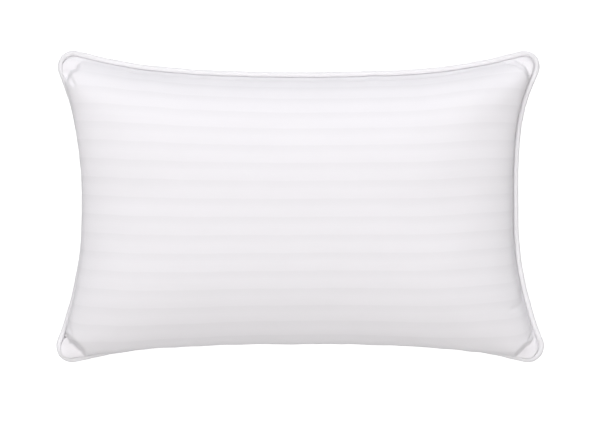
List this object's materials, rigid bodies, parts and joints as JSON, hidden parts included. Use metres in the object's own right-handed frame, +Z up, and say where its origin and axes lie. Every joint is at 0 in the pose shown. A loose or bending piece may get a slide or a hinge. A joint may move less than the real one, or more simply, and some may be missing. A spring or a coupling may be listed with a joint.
{
  "type": "bed pillow",
  "caption": "Rectangular bed pillow with a corded piped edge, rounded flat ears and a satin-stripe cover, filled with fibre to support the head; a blank care label swings from its seam.",
  "frame": {"origin": "on the surface that the pillow rests on, under the middle of its bounding box", "axes": "+X along the pillow's length, +Y across its width, +Z up out of its crown"},
  "size_m": [0.75, 0.4796, 0.185],
  "materials": {
    "stripe_cloth": "satin stripe",
    "piping_cloth": "satin",
    "filler_cord": "matte",
    "thread": "satin",
    "fibre": "matte",
    "label_cloth": "satin"
  },
  "bodies": {
    "pillow": {"front_cover": "stripe_cloth", "back_cover": "stripe_cloth", "piping_tape": "piping_cloth", "piping_cord": "filler_cord", "seam_stitching": "thread", "overlock_stitching": "thread", "closing_stitches": "thread", "fibre_fill": "fibre", "label_stitches": "thread"},
    "label": {"care_label": "label_cloth"}
  },
  "joints": [
    {"name": "label_flap", "type": "hinge", "parent": "pillow", "child": "label", "pos_m": [0.15, -0.20489, 0.0743], "axis": [-0.9984, 0.0564, 0], "range_deg": [-5, 100]}
  ]
}
